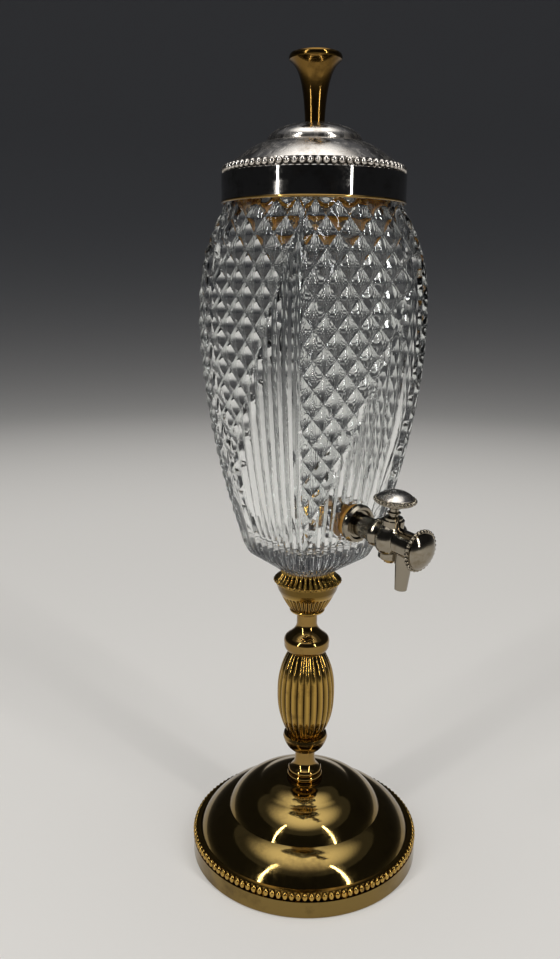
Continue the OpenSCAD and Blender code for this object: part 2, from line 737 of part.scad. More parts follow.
dome_under_z = lid_top_z - 0.8 * lid_t;
knob_washer_t = 1;
knob_washer_z = dome_under_z - knob_washer_t - 0.6;
module knob_washer() {
    color(brass) ring(stud_r + 3, stud_r + nest_gap, knob_washer_z, knob_washer_t);
}

module knob_screw() {
    head_h = 2;
    head_z = knob_washer_z - head_h;
    shaft_z = head_z + head_h - 0.5;
    color(steel) difference() {
        union() {
            translate([0, 0, head_z]) cylinder(r = stud_r + 1.6, h = head_h);
            translate([0, 0, shaft_z]) cylinder(r = stud_r, h = lid_top_z + knob_thread_h - shaft_z);
        }
        translate([-stud_r - 2, -0.5, head_z - 1]) cube([2 * stud_r + 4, 1, 2]);
    }
}

module tap_gasket() {
    color(amber) on_tap() ring(gasket_r, bore_r, 0, gasket_t);
}

module tap_flange() {
    color(nickel) on_tap() turned([
        [shank_r + nest_gap, flange_s], [tap_flange_r, flange_s], [tap_flange_r, flange_s + 1.6],
        [tap_flange_r - 0.8, body_s], [tap_flange_r - 2, body_s],
        [tap_flange_r - 2.8, body_s - 1.2], [shank_r + 0.8, body_s - 1.2],
        [shank_r + 0.8, body_s], [shank_r + nest_gap, body_s]]);
}

module tap_body() {
    waist_r = 5.6;
    small_w = 3.1;
    big_w = 5;
    nose_s = disc_s;
    small_foot = [neck_tap_r - 0.7, small_bulge_at - small_w];
    waist = [waist_r, small_bulge_at + small_w];
    big_foot = [waist_r, key_at - big_w];
    big_end = [waist_r, key_at + big_w];
    color(nickel) on_tap() difference() {
        union() {
            turned(concat(
                [[0, land_in_s - shank_in + land_wall], [shank_r, land_in_s - shank_in + land_wall],
                 [shank_r, body_s], [neck_tap_r - 0.7, body_s]],
                swell_arc(small_foot, waist, -(small_bulge_r - waist_r), 10),
                swell_arc(big_foot, big_end, -(big_bulge_r - waist_r), 12),
                [[neck_tap_r, key_at + big_w + 0.5], [neck_tap_r, nose_s], [0, nose_s]]));
            translate([0, -boss_root, spout_at]) rotate([90, 0, 0])
                cylinder(r = spout_root_r + 0.3, h = boss_h - boss_root);
            translate([0, 0, key_at]) rotate([90, 0, 0])
                cylinder(r = key_barrel_r, h = 2 * flat_h, center = true);
        }
        translate([0, 0, land_in_s - shank_in])
            cylinder(r = passage_r, h = spout_at + 2.6 - land_in_s + shank_in);
        translate([0, 0.3, spout_at]) rotate([90, 0, 0]) cylinder(r = outlet_r, h = boss_h + 1.3);
        translate([0, 0, key_at]) rotate([90, 0, 0])
            cylinder(r = plug_r + plug_gap, h = 3 * big_bulge_r, center = true);
    }
}

module tap_inner_gasket() {
    color(amber) on_tap() ring(gasket_r - 0.9, bore_r, land_in_s - inner_gasket_t, inner_gasket_t);
}

module tap_lock_nut() {
    nut_s = land_in_s - inner_gasket_t - lock_nut_t;
    color(brass) on_tap() translate([0, 0, nut_s]) difference() {
        hex_nut(gasket_r - 0.6, lock_nut_t);
        translate([0, 0, -1]) cylinder(r = shank_r + nest_gap, h = lock_nut_t + 2);
    }
}

module tap_spout() {
    color(nickel) on_tap() translate([0, -boss_h, spout_at]) rotate([90, 0, 0]) difference() {
        cylinder(r1 = spout_root_r, r2 = spout_tip_r, h = spout_drop - boss_h);
        translate([0, 0, -1]) cylinder(r = outlet_r, h = spout_drop - boss_h + 2);
    }
}

// A beaded disc as on the tap's nose and on its handle, with its stem side at Z = 0
edge_in = disc_r - 1.3;
disc_lip = 0.3;
disc_edge_t = disc_lip + 2 * disc_bead_r + 0.2;
module disc_back(stem) {
    turned([
        [0, 0], [stem, 0], [disc_r - bead_proud, disc_cone_h], [disc_r - bead_proud, disc_cone_h + disc_lip],
        [edge_in, disc_cone_h + disc_lip],
        [edge_in, disc_cone_h + disc_edge_t], [0, disc_cone_h + disc_edge_t]]);
}

module disc_rim() {
    beaded_band(disc_r, edge_in + nest_gap, disc_cone_h + disc_lip, disc_edge_t - disc_lip, disc_bead_r);
}

module disc_face() {
    z0 = disc_cone_h + disc_edge_t;
    turned(concat(
        [[0, z0]],
        [[edge_in + 0.6, z0]],
        swell_arc([edge_in + 0.6, z0 + 0.4], [0, z0 + disc_face_h], -1)));
}

module nose_disc() {
    color(nickel) on_tap() translate([0, 0, disc_s]) disc_back(neck_tap_r);
}

module nose_bead_rim() {
    color(nickel) on_tap() translate([0, 0, disc_s]) disc_rim();
}

module nose_cap() {
    color(nickel) on_tap() translate([0, 0, disc_s]) disc_face();
}

// The key: a plug with a cross passage, which stands across the flow when the tap is shut
key_top = flat_h + key_stem_h;
module tap_plug() {
    collar_t = 1.2;
    color(nickel) on_key() difference() {
        turned([
            [0, plug_end], [plug_r, plug_end], [plug_r, flat_h + plug_gap], [plug_r + 0.9, flat_h + plug_gap],
            [plug_r + 0.9, flat_h + collar_t], [key_stem_r, flat_h + collar_t + 0.6],
            [key_stem_r, flat_h + 2.6], [key_stem_r + 1, flat_h + 3.1], [key_stem_r + 1, flat_h + 3.6],
            [key_stem_r, flat_h + 4.1], [key_stem_r, key_top], [0, key_top]]);
        rotate([0, 90, 0]) cylinder(r = passage_r, h = 4 * plug_r, center = true);
        translate([0, 0, plug_end - 1]) cylinder(r = plug_screw_r + nest_gap, h = plug_thread_h + 1.5);
    }
}

module plug_washer() {
    color(brass) on_key()
        ring(plug_r + 0.7, plug_screw_r + nest_gap, plug_end - plug_washer_t, plug_washer_t);
}

module plug_screw() {
    head_r = 2.3 * plug_screw_r;
    head_z = plug_end - plug_washer_t - plug_head_t;
    slot_w = 0.3 * head_r;
    color(brass) on_key() difference() {
        union() {
            translate([0, 0, head_z]) cylinder(r = head_r, h = plug_head_t);
            translate([0, 0, plug_end - 1]) cylinder(r = plug_screw_r, h = plug_thread_h + 1);
        }
        translate([-2 * head_r, -slot_w / 2, head_z - 1]) cube([4 * head_r, slot_w, 1 + 0.4 * plug_head_t]);
    }
}

module handle_disc() {
    color(nickel) on_key() translate([0, 0, key_top]) disc_back(key_stem_r + 0.6);
}

module handle_bead_rim() {
    color(nickel) on_key() translate([0, 0, key_top]) disc_rim();
}

module handle_cap() {
    color(silver) on_key() translate([0, 0, key_top]) disc_face();
}

foot_ring();
base_bead_ring();
base_dome();
base_weight();
tie_rod();
rod_washers();
rod_nuts();
stem_foot();
stem_cup();
stem_barrel();
stem_bell();
bowl_ring();
fluted_bowl();
glass_crown();
peg_cement();
glass_reservoir();
collar_band();
collar_lip();
collar_cement();
rim_gasket();
lid_skirt();
lid_bead_ring();
lid_dome();
lid_knob();
knob_washer();
knob_screw();
tap_gasket();
tap_flange();
tap_body();
tap_inner_gasket();
tap_lock_nut();
tap_spout();
nose_disc();
nose_bead_rim();
nose_cap();
tap_plug();
plug_washer();
plug_screw();
handle_disc();
handle_bead_rim();
handle_cap();
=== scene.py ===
import json
import math

import bmesh
import bpy
import numpy as np
from mathutils import Matrix, Vector


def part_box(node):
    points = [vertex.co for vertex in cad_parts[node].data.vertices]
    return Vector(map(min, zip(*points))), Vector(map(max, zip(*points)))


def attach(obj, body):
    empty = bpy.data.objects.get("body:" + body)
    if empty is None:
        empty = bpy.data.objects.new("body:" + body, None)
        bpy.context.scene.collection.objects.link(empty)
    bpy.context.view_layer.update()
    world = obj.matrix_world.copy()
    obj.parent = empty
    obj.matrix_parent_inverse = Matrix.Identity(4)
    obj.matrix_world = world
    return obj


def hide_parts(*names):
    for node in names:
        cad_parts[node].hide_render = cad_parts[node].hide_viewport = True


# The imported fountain, and its box before anything is dressed
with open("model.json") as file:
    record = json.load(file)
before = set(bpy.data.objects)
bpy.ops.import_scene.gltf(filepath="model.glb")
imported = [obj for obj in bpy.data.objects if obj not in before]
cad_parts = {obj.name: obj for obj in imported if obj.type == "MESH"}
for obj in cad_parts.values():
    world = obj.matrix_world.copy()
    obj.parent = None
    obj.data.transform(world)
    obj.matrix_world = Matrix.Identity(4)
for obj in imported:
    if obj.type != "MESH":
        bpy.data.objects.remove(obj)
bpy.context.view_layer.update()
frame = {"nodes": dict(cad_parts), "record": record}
nodes = frame["nodes"]
bodies = frame["record"]["behaviour"]["bodies"]
MM = 0.001
scene = bpy.context.scene

# Camera: where the viewer stands, from the fountain's axis, and how it frames 560 by 959 pixels
FRAME_HEIGHT_PX = 959
FOCAL_PX = 866
AZIMUTH = math.radians(-39)
PITCH = math.radians(13.1)
ROLL = math.radians(0.45)
DISTANCE = 416.5 * MM
SIDESTEP = -14.4 * MM
EYE_HEIGHT = 299.6 * MM
SENSOR_HEIGHT = 36

right = Vector((math.cos(AZIMUTH), math.sin(AZIMUTH), 0))
ahead = Vector((-math.sin(AZIMUTH), math.cos(AZIMUTH), 0))
forward = ahead * math.cos(PITCH) - Vector((0, 0, math.sin(PITCH)))
upward = ahead * math.sin(PITCH) + Vector((0, 0, math.cos(PITCH)))
camera_data = bpy.data.cameras.new("camera")
camera_data.sensor_fit = "VERTICAL"
camera_data.sensor_height = SENSOR_HEIGHT
camera_data.lens = FOCAL_PX * SENSOR_HEIGHT / FRAME_HEIGHT_PX
camera = bpy.data.objects.new("camera", camera_data)
camera_x = right * math.cos(ROLL) + upward * math.sin(ROLL)
camera_y = upward * math.cos(ROLL) - right * math.sin(ROLL)
camera.matrix_world = Matrix((camera_x, camera_y, -forward)).transposed().to_4x4()
camera.location = right * SIDESTEP - ahead * DISTANCE + Vector((0, 0, EYE_HEIGHT))
scene.collection.objects.link(camera)
scene.camera = camera


def linear(colour):
    """An sRGB hex colour as linear red, green, blue and alpha."""
    parts = [int(colour[i:i + 2], 16) / 255 for i in (1, 3, 5)]
    return [c / 12.92 if c <= 0.04045 else ((c + 0.055) / 1.055) ** 2.4 for c in parts] + [1]


def add(tree, kind, inputs=None, **settings):
    """Adds a node. An input takes a value, or another node's output."""
    node = tree.nodes.new(kind)
    for name, value in settings.items():
        setattr(node, name, value)
    for name, value in (inputs or {}).items():
        if isinstance(value, bpy.types.NodeSocket):
            tree.links.new(value, node.inputs[name])
        else:
            node.inputs[name].default_value = value
    return node


def per_metre(size_mm):
    """The scale of a texture whose features are that many millimetres across."""
    return 1 / (size_mm * MM)


def new_material(name):
    """A material with nodes, its tree and its shader."""
    material = bpy.data.materials.new(name)
    material.use_nodes = True
    return material, material.node_tree, material.node_tree.nodes["Principled BSDF"]


# The colour sockets of a Mix node
SHARE, FROM, TO, MIXED = 0, 6, 7, 2

# Buffed metal: how softly a clean patch turns dull, how much rougher it is then, the width of the streaks that
# wiping leaves, which are about 14 mm long, how far a streak varies the roughness, and how long a lathe line is
DULL_SPREAD = 0.22
DULL_ROUGHER = 0.16
STREAK_MM = 3
STREAK_SQUASH = (1, 1, 0.22)
WIPED_SMOOTH = 0.6
WIPED_ROUGH = 1.7
LATHE_SQUASH = (0.01, 0.01, 1)


def polished_metal(name, clean, dull, roughness, dull_from, patch_mm, pit_mm, pit_depth_mm, line_mm=0,
                   shade_colour=None):
    """A buffed metal: clean and dull patches, cloudy wiping marks, fine pits and, if turned, lathe lines.
    Shade colour is painted shade: a dark colour mixed into a dressed piece as far as its shade share says, in
    its valleys, gaps and undersides."""
    material, tree, shader = new_material(name)
    place = add(tree, "ShaderNodeTexCoord").outputs["Object"]
    patches = add(tree, "ShaderNodeTexNoise", {
        "Vector": place, "Scale": per_metre(patch_mm), "Detail": 6, "Roughness": 0.65})
    dullness = add(tree, "ShaderNodeMapRange", {
        "Value": patches.outputs["Fac"], "From Min": dull_from, "From Max": dull_from + DULL_SPREAD})
    colour = add(tree, "ShaderNodeMix", {
        SHARE: dullness.outputs["Result"], FROM: linear(clean), TO: linear(dull)}, data_type="RGBA")
    if shade_colour:
        # Painted shade: each point's shade share mixes the dark shade colour into the metal's colour
        hollow = add(tree, "ShaderNodeAttribute", attribute_name="hollow")
        colour = add(tree, "ShaderNodeMix", {
            SHARE: hollow.outputs["Fac"], FROM: colour.outputs[MIXED], TO: linear(shade_colour)}, data_type="RGBA")
    tree.links.new(colour.outputs[MIXED], shader.inputs["Base Color"])
    streak_place = add(tree, "ShaderNodeMapping", {"Vector": place, "Scale": STREAK_SQUASH})
    streaks = add(tree, "ShaderNodeTexNoise", {
        "Vector": streak_place.outputs["Vector"], "Scale": per_metre(STREAK_MM), "Detail": 4, "Distortion": 0.6})
    wiped = add(tree, "ShaderNodeMapRange", {
        "Value": streaks.outputs["Fac"], "From Min": 0.35, "From Max": 0.75,
        "To Min": WIPED_SMOOTH * roughness, "To Max": WIPED_ROUGH * roughness})
    rougher = add(tree, "ShaderNodeMath", {
        0: dullness.outputs["Result"], 1: DULL_ROUGHER, 2: wiped.outputs["Result"]}, operation="MULTIPLY_ADD")
    tree.links.new(rougher.outputs["Value"], shader.inputs["Roughness"])
    pits = add(tree, "ShaderNodeTexNoise", {"Vector": place, "Scale": per_metre(pit_mm), "Detail": 3})
    height = pits.outputs["Fac"]
    if line_mm:
        line_place = add(tree, "ShaderNodeMapping", {"Vector": place, "Scale": LATHE_SQUASH})
        lines = add(tree, "ShaderNodeTexNoise", {
            "Vector": line_place.outputs["Vector"], "Scale": per_metre(line_mm), "Detail": 1})
        both = add(tree, "ShaderNodeMath", {0: height, 1: lines.outputs["Fac"]}, operation="ADD")
        height = both.outputs["Value"]
    bump = add(tree, "ShaderNodeBump", {"Height": height, "Strength": 1, "Distance": pit_depth_mm * MM})
    tree.links.new(bump.outputs["Normal"], shader.inputs["Normal"])
    shader.inputs["Metallic"].default_value = 1
    return material


# Pressed glass: the ripple that the mould leaves, and the size of a water mark
RIPPLE_MM = 5
RIPPLE_DEPTH_MM = 0.05
WATER_MARK_MM = 20


def pressed_glass():
    """Soda-lime glass, pressed in a mould and fire polished: clear, with the mould's soft ripple left in it."""
    material, tree, shader = new_material("soda_lime_glass_pressed")
    place = add(tree, "ShaderNodeTexCoord").outputs["Object"]
    ripple = add(tree, "ShaderNodeTexNoise", {"Vector": place, "Scale": per_metre(RIPPLE_MM), "Detail": 3})
    bump = add(tree, "ShaderNodeBump", {
        "Height": ripple.outputs["Fac"], "Strength": 1, "Distance": RIPPLE_DEPTH_MM * MM})
    tree.links.new(bump.outputs["Normal"], shader.inputs["Normal"])
    # A few water marks: barely rougher clouds
    clouds = add(tree, "ShaderNodeTexNoise", {"Vector": place, "Scale": per_metre(WATER_MARK_MM), "Detail": 5})
    marks = add(tree, "ShaderNodeMapRange", {
        "Value": clouds.outputs["Fac"], "From Min": 0.5, "From Max": 0.8, "To Min": 0.005, "To Max": 0.05})
    tree.links.new(marks.outputs["Result"], shader.inputs["Roughness"])
    shader.inputs["Base Color"].default_value = linear("#fafcfb")
    shader.inputs["Transmission Weight"].default_value = 1
    shader.inputs["IOR"].default_value = 1.52
    return material


# Moulded rubber: its faint clouds, and the grain of its skin
RUBBER_CLOUD_MM = 4
RUBBER_GRAIN_MM = 0.8
RUBBER_GRAIN_DEPTH_MM = 0.03


def moulded_rubber(name, colour, deep, see_through):
    """Soft rubber or silicone, moulded: an even colour with faint clouds and a dull skin."""
    material, tree, shader = new_material(name)
    place = add(tree, "ShaderNodeTexCoord").outputs["Object"]
    clouds = add(tree, "ShaderNodeTexNoise", {
        "Vector": place, "Scale": per_metre(RUBBER_CLOUD_MM), "Detail": 4})
    shade = add(tree, "ShaderNodeMix", {
        SHARE: clouds.outputs["Fac"], FROM: linear(colour), TO: linear(deep)}, data_type="RGBA")
    tree.links.new(shade.outputs[MIXED], shader.inputs["Base Color"])
    skin = add(tree, "ShaderNodeTexNoise", {"Vector": place, "Scale": per_metre(RUBBER_GRAIN_MM), "Detail": 2})
    bump = add(tree, "ShaderNodeBump", {
        "Height": skin.outputs["Fac"], "Strength": 1, "Distance": RUBBER_GRAIN_DEPTH_MM * MM})
    tree.links.new(bump.outputs["Normal"], shader.inputs["Normal"])
    shader.inputs["Roughness"].default_value = 0.32
    shader.inputs["IOR"].default_value = 1.41
    shader.inputs["Transmission Weight"].default_value = see_through
    return material


def rough_solid(name, colour, deep, grain_mm, grain_depth_mm, roughness, metallic):
    """A rough fill or casting: mottled, with open grain."""
    material, tree, shader = new_material(name)
    place = add(tree, "ShaderNodeTexCoord").outputs["Object"]
    grain = add(tree, "ShaderNodeTexNoise", {
        "Vector": place, "Scale": per_metre(grain_mm), "Detail": 6, "Roughness": 0.7})
    shade = add(tree, "ShaderNodeMix", {
        SHARE: grain.outputs["Fac"], FROM: linear(colour), TO: linear(deep)}, data_type="RGBA")
    tree.links.new(shade.outputs[MIXED], shader.inputs["Base Color"])
    bump = add(tree, "ShaderNodeBump", {
        "Height": grain.outputs["Fac"], "Strength": 1, "Distance": grain_depth_mm * MM})
    tree.links.new(bump.outputs["Normal"], shader.inputs["Normal"])
    shader.inputs["Roughness"].default_value = roughness
    shader.inputs["Metallic"].default_value = metallic
    return material


# Brass sheet, spun and buffed, gone brown-gold with age: a dark mirror with cloudy wiping marks
spun_brass = polished_metal(
    "aged_brass_spun", "#887242", "#574628", roughness=0.07, dull_from=0.52, patch_mm=26, pit_mm=1.2,
    pit_depth_mm=0.012)
# Brass rod, turned and buffed: clean gold with faint lathe lines, drawn 0.9 mm apart so that they show
turned_brass = polished_metal(
    "polished_brass_turned", "#957844", "#63502c", roughness=0.08, dull_from=0.55, patch_mm=12, pit_mm=0.9,
    pit_depth_mm=0.010, line_mm=0.9)
# Brass, cast with reeds and lacquered: the brightest gold, with a near-black brown as painted shade in its reed
# valleys, at its seated ends and under the crown's skirt
reeded_brass = polished_metal(
    "lacquered_brass_cast", "#ba974d", "#836632", roughness=0.11, dull_from=0.54, patch_mm=7, pit_mm=0.8,
    pit_depth_mm=0.014, shade_colour="#2b1d0c")
# Brass rod under old lacquer: a deep brown-gold, with the same lathe lines
dark_brass = polished_metal(
    "dark_brass_turned", "#775b2c", "#493719", roughness=0.09, dull_from=0.52, patch_mm=9, pit_mm=0.9,
    pit_depth_mm=0.010, line_mm=0.9)
# Brass sheet under a thin wash of gold, kept bright inside the lid and the tank: a soft amber mirror
gilt_brass = polished_metal(
    "gilt_brass_spun", "#f2c25a", "#d09a3c", roughness=0.22, dull_from=0.58, patch_mm=10, pit_mm=0.9,
    pit_depth_mm=0.010)
# Silver plate on spun brass: white, finely pitted, with grey tarnish clouds, and a dark brown as painted shade
# in the gaps between its beads
silver = polished_metal(
    "silver_plate_spun", "#d2ccc4", "#9a8f82", roughness=0.20, dull_from=0.50, patch_mm=14, pit_mm=0.7,
    pit_depth_mm=0.030, shade_colour="#3a3128")
# Bright chrome plate on a rolled band: a cold dark mirror, clouded where it was wiped
chrome = polished_metal(
    "chrome_plate_rolled", "#8c8a86", "#5d5851", roughness=0.035, dull_from=0.50, patch_mm=8, pit_mm=2.0,
    pit_depth_mm=0.006)
# Nickel plate on cast brass: a warm grey mirror, yellower where the plate is thin
nickel = polished_metal(
    "nickel_plate_cast", "#938b7c", "#716248", roughness=0.06, dull_from=0.55, patch_mm=8, pit_mm=0.8,
    pit_depth_mm=0.014)
# Mild steel rod and fasteners, turned: a duller grey with open lathe lines
steel = polished_metal(
    "mild_steel_turned", "#9a9da0", "#6f6d6a", roughness=0.28, dull_from=0.50, patch_mm=6, pit_mm=0.6,
    pit_depth_mm=0.020, line_mm=0.7)
# Iron, cast in sand: dark and matte, with the sand's grain on it
iron = rough_solid(
    "grey_iron_cast", "#4d4d4f", "#2f2f31", grain_mm=1.2, grain_depth_mm=0.15, roughness=0.7, metallic=0.6)
# Resin cement, poured: amber, seen through the neck of the glass
cement = rough_solid(
    "resin_cement_poured", "#f0ae3e", "#d08a26", grain_mm=3, grain_depth_mm=0.05, roughness=0.5, metallic=0)
# Silicone rubber, moulded: clear amber, lit through
amber_rubber = moulded_rubber("silicone_rubber_amber", "#eab45c", "#cf8f38", see_through=0.35)
# Nitrile rubber, moulded: pale and opaque
pale_rubber = moulded_rubber("nitrile_rubber_pale", "#c9c2b0", "#b3aa96", see_through=0)
glass = pressed_glass()

FINISHES = {
    spun_brass: ["foot_ring", "base_dome"],
    turned_brass: ["stem_foot", "stem_cup", "stem_bell", "bowl_ring", "collar_lip", "plug_washer",
                   "plug_screw"],
    gilt_brass: ["lid_skirt", "knob_washer", "tap_lock_nut"],
    reeded_brass: ["base_bead_ring", "stem_barrel", "fluted_bowl", "glass_crown"],
    dark_brass: ["lid_knob"],
    silver: ["lid_bead_ring", "lid_dome", "handle_cap"],
    chrome: ["collar_band"],
    nickel: ["tap_flange", "tap_body", "tap_spout", "nose_disc", "nose_bead_rim", "nose_cap", "tap_plug",
             "handle_disc", "handle_bead_rim"],
    steel: ["tie_rod", "rod_washers", "rod_nuts", "knob_screw"],
    iron: ["base_weight"],
    cement: ["peg_cement", "collar_cement"],
    amber_rubber: ["tap_gasket", "tap_inner_gasket"],
    pale_rubber: ["rim_gasket"],
    glass: ["glass_reservoir"],
}
finish_of = {name: material for material, names in FINISHES.items() for name in names}
for name, material in finish_of.items():
    for slot in nodes[name].material_slots:
        slot.material = material

# Edges this steep, in degrees, stay sharp on a reeded or beaded piece, and on a plain turned one
REED_SHARP_FROM = 60
TURNED_SHARP_FROM = 25
# Steps round a turned piece, and round one reed
TURNED_LAPS = 240
REED_SAMPLES = 16
# How fast the painted shade spreads from the bottom of a valley up its sides
VALLEY_SHADE = 0.7
# Points nearer than this are one point, in millimetres, and on a CAD mesh's seam, in metres
WELD_MM = 0.002
SEAM_SLACK = 1e-7
LEVEL_SLACK = 1e-6


def dressed_piece(name, points, faces, node, sharp_from=REED_SHARP_FROM, hollow=None):
    """A smooth piece, in metres, which stands for a node, has its finish and rides with its body.
    Shade share says, for each point, how much painted shade its colour takes, from 0 to 1."""
    mesh = bpy.data.meshes.new(name)
    mesh.from_pydata(np.asarray(points).tolist(), [], faces)
    mesh.polygons.foreach_set("use_smooth", [True] * len(mesh.polygons))
    mesh.set_sharp_from_angle(angle=math.radians(sharp_from))
    mesh.materials.append(finish_of[node])
    if hollow is not None:
        mesh.attributes.new("hollow", "FLOAT", "POINT").data.foreach_set("value", np.clip(hollow, 0, 1))
    piece = bpy.data.objects.new(name, mesh)
    scene.collection.objects.link(piece)
    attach(piece, next(body for body, members in bodies.items() if node in members))
    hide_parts(node)
    return piece


def weld(mesh):
    """Joins points that lie on each other, as on a turned piece's axis, and drops the faces that close up."""
    cells = bmesh.new()
    cells.from_mesh(mesh)
    bmesh.ops.remove_doubles(cells, verts=cells.verts, dist=WELD_MM * MM)
    cells.to_mesh(mesh)
    cells.free()


def ring_faces(count, total, caps=False, split=None):
    """Faces through rings of points. The last ring joins the first, or caps close both ends.
    Split says, for a ring's number, which quads are cut along their rising diagonal."""
    near = np.arange(count)
    far = np.roll(near, -1)
    faces = []
    for j in range(total - 1 if caps else total):
        low = j * count
        high = (j + 1) % total * count
        quads = np.stack([low + near, low + far, high + far, high + near], 1)
        rising = split(j) if split else None
        if rising is None:
            faces += quads.tolist()
            continue
        up, down = quads[rising], quads[~rising]
        for corners in (up[:, [0, 1, 2]], up[:, [0, 2, 3]], down[:, [0, 1, 3]], down[:, [1, 2, 3]]):
            faces += corners.tolist()
    if caps:
        faces += [list(range(count - 1, -1, -1)), list(range((total - 1) * count, total * count))]
    return faces


def reeded_piece(name, node, profile, reeds, depth):
    """A reeded turning with a bore, painted with shade down in its valleys. Profile rows are radius, height,
    share of the valley's depth, how far the valley is lifted, and how much painted shade the row takes, and run
    up the outside and down the bore."""
    turn = np.linspace(0, 2 * np.pi, reeds * REED_SAMPLES, endpoint=False)
    valley = 1 - np.abs(np.sin(reeds * turn / 2))
    rings = []
    hollow = []
    for radius, height, share, lift, row_shade in profile:
        r = radius - depth * share * valley
        rings.append(np.stack([r * np.cos(turn), r * np.sin(turn), height + lift * valley], 1))
        # Painted shade: darkest at the bottom of a reed's valley, and never less than the row's own
        hollow.append(np.maximum(share * valley ** VALLEY_SHADE, row_shade))
    return dressed_piece(name, np.concatenate(rings) * MM, ring_faces(len(turn), len(rings)), node,
                         hollow=np.concatenate(hollow))


def seam_profile(node):
    """Radius and height, in metres, of the points round a turned node's section, read along the seam of its
    CAD mesh. Flat faces have no seam, so loose ends at one height are joined."""
    links = {}
    for edge in node.data.edges:
        ends = [node.matrix_world @ node.data.vertices[i].co for i in edge.vertices]
        if all(abs(p.y) < SEAM_SLACK and p.x > -SEAM_SLACK for p in ends):
            a, b = [(round(p.x, 7), round(p.z, 7)) for p in ends]
            if a != b:
                links.setdefault(a, set()).add(b)
                links.setdefault(b, set()).add(a)
    loose = sorted((p for p in links if len(links[p]) == 1), key=lambda p: (round(p[1], 6), p[0]))
    for a, b in zip(loose, loose[1:]):
        if len(links[a]) == len(links[b]) == 1 and abs(a[1] - b[1]) < LEVEL_SLACK:
            links[a].add(b)
            links[b].add(a)
    profile = [next(iter(links))]
    while True:
        ahead_of = [p for p in links[profile[-1]] if p not in profile[-2:]]
        if not ahead_of or ahead_of[0] == profile[0]:
            break
        profile.append(ahead_of[0])
    return np.array(profile)


def revolved_piece(name, node, profile):
    """A closed section of radius and height, in metres, turned in steps fine enough to reflect cleanly."""
    radii, heights = profile.T
    if np.sum(radii * np.roll(heights, -1) - np.roll(radii, -1) * heights) < 0:
        profile = profile[::-1]
    turn = np.linspace(0, 2 * np.pi, TURNED_LAPS, endpoint=False)
    rings = [np.stack([r * np.cos(turn), r * np.sin(turn), np.full_like(turn, z)], 1) for r, z in profile]
    piece = dressed_piece(
        name, np.concatenate(rings), ring_faces(TURNED_LAPS, len(rings)), node, TURNED_SHARP_FROM)
    weld(piece.data)
    return piece


def node_span(name):
    """The lowest and highest height of a node, in millimetres."""
    low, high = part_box(name)
    return low.z / MM, high.z / MM


def smooth_step(low, high, value):
    """Rises softly from 0 at low to 1 at high."""
    t = np.clip((value - low) / (high - low), 0, 1)
    return t * t * (3 - 2 * t)


# Sizes that more than one piece shares, in millimetres
NECK_R = 40.2
ROD_BORE_R = 3.15

# Turned pieces that are smooth enough to mirror what stands round them
for node in ("foot_ring", "base_dome", "stem_foot", "stem_cup", "collar_band", "lid_knob"):
    revolved_piece("turned_" + node, node, seam_profile(nodes[node]))

# Stem bell: its slim neck runs straight on up into the bowl's seat, where a small collar ends it
BELL_NECK_R = 5.2
BELL_FILLET_H = 2
NECK_COLLAR_R = 6.8
NECK_COLLAR_H = 0.9
seat_low, seat_high = node_span("bowl_ring")
bell_section = seam_profile(nodes["stem_bell"])
neck_top = bell_section[:, 1] > (seat_low - BELL_FILLET_H) * MM
bell_section[neck_top, 0] = np.minimum(bell_section[neck_top, 0], BELL_NECK_R * MM)
revolved_piece("turned_stem_bell", "stem_bell", bell_section)
revolved_piece("bell_neck", "bowl_ring", np.array([
    (ROD_BORE_R, seat_low), (BELL_NECK_R, seat_low), (BELL_NECK_R, seat_high - 2 * NECK_COLLAR_H),
    (NECK_COLLAR_R, seat_high - NECK_COLLAR_H), (NECK_COLLAR_R, seat_high), (ROD_BORE_R, seat_high)]) * MM)

# Lid: a rounded tier, and a pillow-shaped dome on top of it, spun from one sheet
LID_R = 38.8
LID_TIER_H = 9.8
LID_TIER_SWELL = 1.5
LID_DOME_R = 21.9
LID_DOME_STEP = 0.6
LID_DOME_LIFT = 0.3
LID_SHEET = 0.8
STUD_BORE_R = 2.3
lid_low, lid_high = node_span("lid_dome")
tier_run = LID_DOME_R + LID_DOME_STEP - LID_R
tier = [(LID_R + tier_run * s, lid_low + LID_TIER_H * (1 - (1 - s) ** LID_TIER_SWELL))
        for s in np.linspace(0, 1, 25)]
dome_foot = lid_low + LID_TIER_H + LID_DOME_LIFT
dome_end = math.acos(STUD_BORE_R / LID_DOME_R)
dome = [(LID_DOME_R * math.cos(a), dome_foot + (lid_high - dome_foot) * math.sin(a) / math.sin(dome_end))
        for a in np.linspace(0, dome_end, 33)]
lid_skin = np.array(tier + dome)
lid_inside = np.maximum(lid_skin - LID_SHEET, (STUD_BORE_R, lid_low))[::-1]
revolved_piece("lid_shell", "lid_dome", np.concatenate([lid_skin, lid_inside]) * MM)

# Collar cement: poured against the neck, so that the glass shows its colour with no air between
CEMENT_WET = 0.05
cement_low, cement_high = node_span("collar_cement")
cement_in, cement_out = NECK_R - CEMENT_WET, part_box("collar_cement")[1].x / MM
revolved_piece("neck_cement", "collar_cement", np.array([
    (cement_in, cement_low), (cement_out, cement_low),
    (cement_out, cement_high), (cement_in, cement_high)]) * MM)
